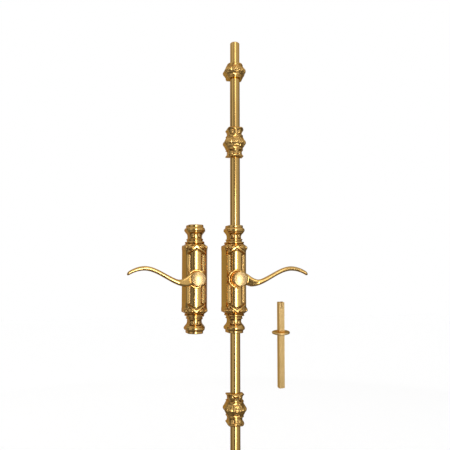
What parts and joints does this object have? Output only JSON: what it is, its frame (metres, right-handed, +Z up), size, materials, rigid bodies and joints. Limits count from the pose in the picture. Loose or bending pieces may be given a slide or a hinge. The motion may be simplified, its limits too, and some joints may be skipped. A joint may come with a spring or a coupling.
{
  "type": "cremone bolt",
  "caption": "Brass cremone bolt: a waved lever turns a pinion between two racks to draw the upper and lower rods through guides; with matching outside lever plate and loose spindle.",
  "frame": {"origin": "on the lever's axis at the door's face, the centre of the casing's four fixing holes", "axes": "+Z up along the rods, +X to the right along the main lever, +Y into the door"},
  "size_m": [0.276, 0.0636, 0.78],
  "materials": {
    "cast_brass": "polished and lacquered",
    "bar_brass": "drawn and polished",
    "turned_brass": "machined",
    "steel": "bright zinc"
  },
  "bodies": {
    "fixed": {"casing_cover": "cast_brass", "base_plate": "turned_brass", "base_plate_screws": "steel", "hub_bush": "turned_brass", "thrust_washer": "steel", "top_guide": "cast_brass", "upper_guide": "cast_brass", "lower_guide": "cast_brass", "bottom_guide": "cast_brass", "outside_cover": "cast_brass", "outside_base_plate": "turned_brass", "outside_plate_screws": "steel", "outside_hub_bush": "turned_brass", "outside_thrust_washer": "steel", "spindle": "bar_brass", "spindle_collar": "bar_brass"},
    "lever_drive": {"lever": "cast_brass", "lever_grub_screw": "steel", "drive_sleeve": "turned_brass", "pinion": "steel", "pinion_key": "steel", "retaining_rings": "steel"},
    "upper_bolt": {"upper_rod": "bar_brass", "upper_rod_stud": "steel", "upper_rack": "steel"},
    "lower_bolt": {"lower_rod": "bar_brass", "lower_rod_stud": "steel", "lower_rack": "steel"},
    "outside_drive": {"outside_lever": "cast_brass", "outside_grub_screw": "steel", "outside_drive_sleeve": "turned_brass", "outside_retaining_rings": "steel"}
  },
  "joints": [
    {"name": "lever_turn", "type": "hinge", "parent": "fixed", "child": "lever_drive", "pos_m": [0, 0, 0], "axis": [0, 1, 0], "range_deg": [0, 90]},
    {"name": "upper_bolt_slide", "type": "slide", "parent": "fixed", "child": "upper_bolt", "axis": [0, 0, 1], "range_m": [-0.0165, 0]},
    {"name": "lower_bolt_slide", "type": "slide", "parent": "fixed", "child": "lower_bolt", "axis": [0, 0, 1], "range_m": [0, 0.0165]},
    {"name": "outside_lever_turn", "type": "hinge", "parent": "fixed", "child": "outside_drive", "pos_m": [-0.064, 0, 0], "axis": [0, -1, 0], "range_deg": [0, 90]}
  ],
  "couplings": [
    {"joint": "upper_bolt_slide", "follows": "lever_turn", "m_per_rad": -0.0105},
    {"joint": "lower_bolt_slide", "follows": "lever_turn", "m_per_rad": 0.0105}
  ]
}
